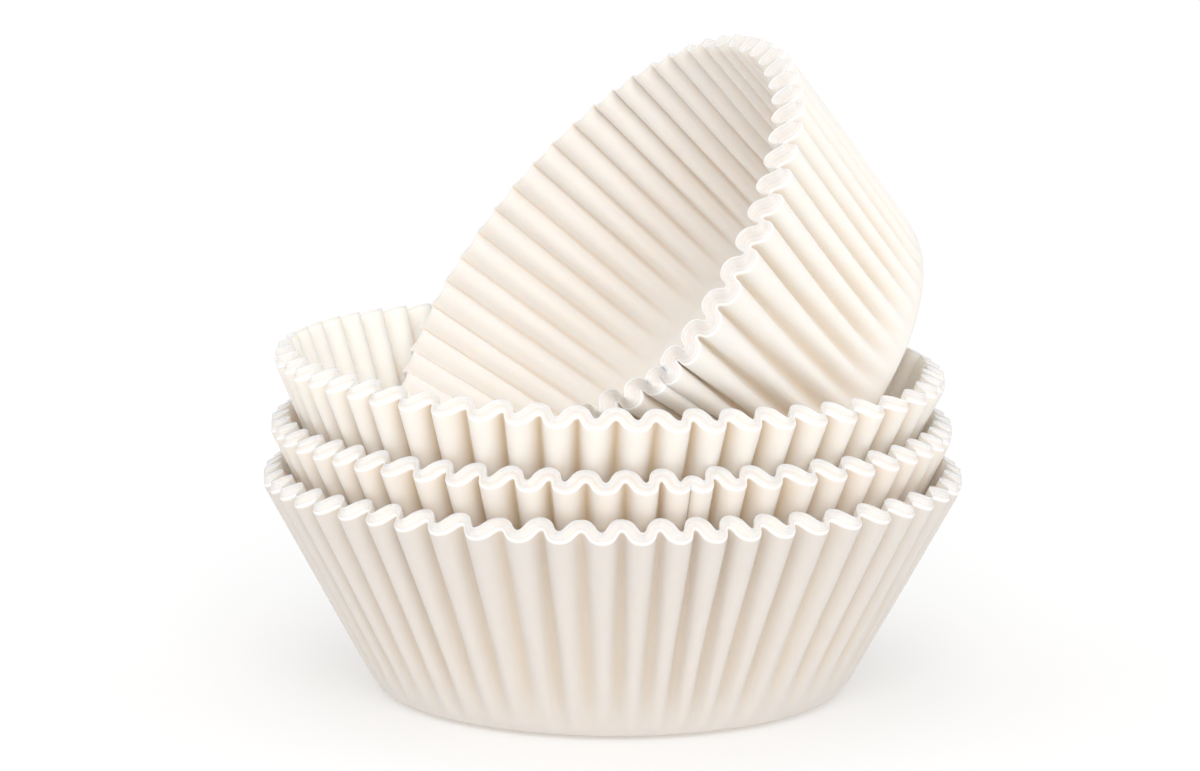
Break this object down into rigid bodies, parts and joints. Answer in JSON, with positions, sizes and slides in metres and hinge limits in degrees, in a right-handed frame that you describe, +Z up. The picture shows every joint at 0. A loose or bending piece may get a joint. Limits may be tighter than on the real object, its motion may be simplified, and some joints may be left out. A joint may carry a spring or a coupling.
{
  "type": "stack of paper cupcake liners",
  "caption": "Stack of pleated ivory paper cupcake liners: nested bundles stand in each other and one more leans in the top cup.",
  "frame": {"origin": "centre of the bottom liners' flat underside, on the surface the stack stands on", "axes": "+Z up along the standing liners' axis, +X to the right and +Y to the back as the picture shows the stack"},
  "size_m": [0.073, 0.073, 0.0681],
  "materials": {
    "paper": "matte ivory greaseproof paper, slightly translucent"
  },
  "bodies": {
    "root": {"bottom_liners": "paper", "middle_liners": "paper", "top_liners": "paper", "leaning_liners": "paper"}
  },
  "joints": []
}
